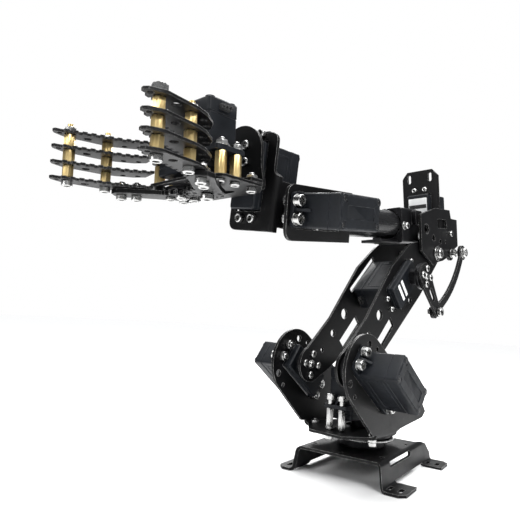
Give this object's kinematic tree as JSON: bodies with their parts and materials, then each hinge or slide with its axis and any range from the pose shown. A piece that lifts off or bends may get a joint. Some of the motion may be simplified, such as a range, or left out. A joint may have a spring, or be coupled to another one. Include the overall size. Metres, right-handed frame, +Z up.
{
  "type": "desktop robot arm",
  "caption": "Desktop robot arm: bent black sheet brackets on a turntable, servo-driven shoulder, linked elbow, rolling forearm tube, two-axis wrist and a geared two-finger gripper.",
  "frame": {"origin": "on the floor under the base yaw axis", "axes": "+X along the foot plate towards the gripper's side, +Z up along the yaw axis, +Y to the robot's left"},
  "size_m": [0.3732, 0.1297, 0.2521],
  "materials": {
    "black_sheet": "black anodised aluminium sheet, satin",
    "servo_black": "moulded black plastic servo case, satin",
    "horn_black": "black anodised turned aluminium",
    "steel": "bright stainless fasteners and bearing race",
    "brass": "machined brass spacers",
    "tube_black": "smooth black tube"
  },
  "bodies": {
    "base": {"base_bracket": "black_sheet", "yaw_bearing_lower_ring": "steel", "yaw_hub": "horn_black"},
    "turntable": {"yaw_bearing_upper_ring": "horn_black", "turntable_bracket": "black_sheet", "yaw_servo": "servo_black", "shoulder_servo_left": "servo_black", "shoulder_servo_right": "servo_black"},
    "upper_arm": {"shoulder_horn_left": "horn_black", "shoulder_horn_right": "horn_black", "upper_arm_plate_left": "black_sheet", "upper_arm_plate_right": "black_sheet", "elbow_servo": "servo_black", "elbow_pivot_bolt_left": "steel", "elbow_pivot_bolt_right": "steel"},
    "crank": {"elbow_horn": "horn_black", "elbow_crank": "black_sheet", "elbow_crank_pin": "steel"},
    "link": {"elbow_link": "black_sheet"},
    "elbow": {"elbow_bracket": "black_sheet", "elbow_lever_pin": "steel", "roll_mount_plate": "black_sheet", "forearm_roll_servo": "servo_black", "bearing_block": "horn_black"},
    "forearm": {"forearm_roll_horn": "horn_black", "tube_rear_coupler": "horn_black", "forearm_tube": "tube_black", "tube_front_coupler": "horn_black", "wrist_bracket": "black_sheet", "wrist_pitch_servo": "servo_black"},
    "hand": {"wrist_pitch_horn": "horn_black", "hand_bracket": "black_sheet", "wrist_roll_servo": "servo_black"},
    "gripper": {"wrist_roll_horn": "horn_black", "gripper_back_plate": "black_sheet", "gripper_deck": "black_sheet", "gripper_servo": "servo_black", "gripper_standoff_front_left": "brass", "gripper_standoff_front_right": "brass", "gripper_standoff_rear_left": "brass", "gripper_standoff_rear_right": "brass", "finger_idler_pin": "steel"},
    "finger_left": {"finger_gear_left": "black_sheet", "finger_left_lower": "black_sheet", "finger_left_mid_lower": "black_sheet", "finger_left_mid_upper": "black_sheet", "finger_left_upper": "black_sheet", "finger_left_rear_column": "brass", "finger_left_front_column": "brass"},
    "finger_right": {"finger_gear_right": "black_sheet", "finger_right_lower": "black_sheet", "finger_right_mid_lower": "black_sheet", "finger_right_mid_upper": "black_sheet", "finger_right_upper": "black_sheet", "finger_right_rear_column": "brass", "finger_right_front_column": "brass", "finger_drive_horn": "horn_black"}
  },
  "joints": [
    {"name": "base_yaw", "type": "hinge", "parent": "base", "child": "turntable", "pos_m": [0, 0, 0], "axis": [0, 0, 1], "range_deg": [-90, 90]},
    {"name": "shoulder_pitch", "type": "hinge", "parent": "turntable", "child": "upper_arm", "pos_m": [0.04639, -0.00751, 0.0757], "axis": [0.1599, 0.9871, 0], "range_deg": [-15, 60]},
    {"name": "elbow_bend", "type": "hinge", "parent": "upper_arm", "child": "elbow", "pos_m": [-0.07901, 0.0128, 0.17248], "axis": [0.1599, 0.9871, 0], "range_deg": [-30, 5]},
    {"name": "crank_turn", "type": "hinge", "parent": "upper_arm", "child": "crank", "pos_m": [-0.03014, 0.00488, 0.1467], "axis": [0.1599, 0.9871, 0], "range_deg": [-17.5, 3.5]},
    {"name": "link_turn", "type": "hinge", "parent": "crank", "child": "link", "pos_m": [-0.05323, 0.00862, 0.12028], "axis": [0.1599, 0.9871, 0], "range_deg": [-2, 8.5]},
    {"name": "forearm_roll", "type": "hinge", "parent": "elbow", "child": "forearm", "pos_m": [-0.07563, 0.01225, 0.19744], "axis": [0.978, -0.1584, -0.1357], "range_deg": [-90, 90]},
    {"name": "wrist_pitch", "type": "hinge", "parent": "forearm", "child": "hand", "pos_m": [0.118, -0.01888, 0.17238], "axis": [0.1413, 0.9817, -0.1276], "range_deg": [-45, 45]},
    {"name": "wrist_roll", "type": "hinge", "parent": "hand", "child": "gripper", "pos_m": [0.17979, -0.02263, 0.19628], "axis": [0.9879, -0.1482, -0.0461], "range_deg": [-90, 90]},
    {"name": "finger_left_swing", "type": "hinge", "parent": "gripper", "child": "finger_left", "pos_m": [0.18074, -0.0128, 0.18507], "axis": [0.0475, 0.0059, 0.9989], "range_deg": [-31, 6]},
    {"name": "finger_right_swing", "type": "hinge", "parent": "gripper", "child": "finger_right", "pos_m": [0.17779, -0.03258, 0.18533], "axis": [0.0475, 0.0059, 0.9989], "range_deg": [-6, 31]}
  ],
  "couplings": [
    {"joint": "crank_turn", "follows": "elbow_bend", "ratio": 0.5646},
    {"joint": "link_turn", "follows": "elbow_bend", "ratio": -0.2676},
    {"joint": "finger_right_swing", "follows": "finger_left_swing", "ratio": -1}
  ]
}
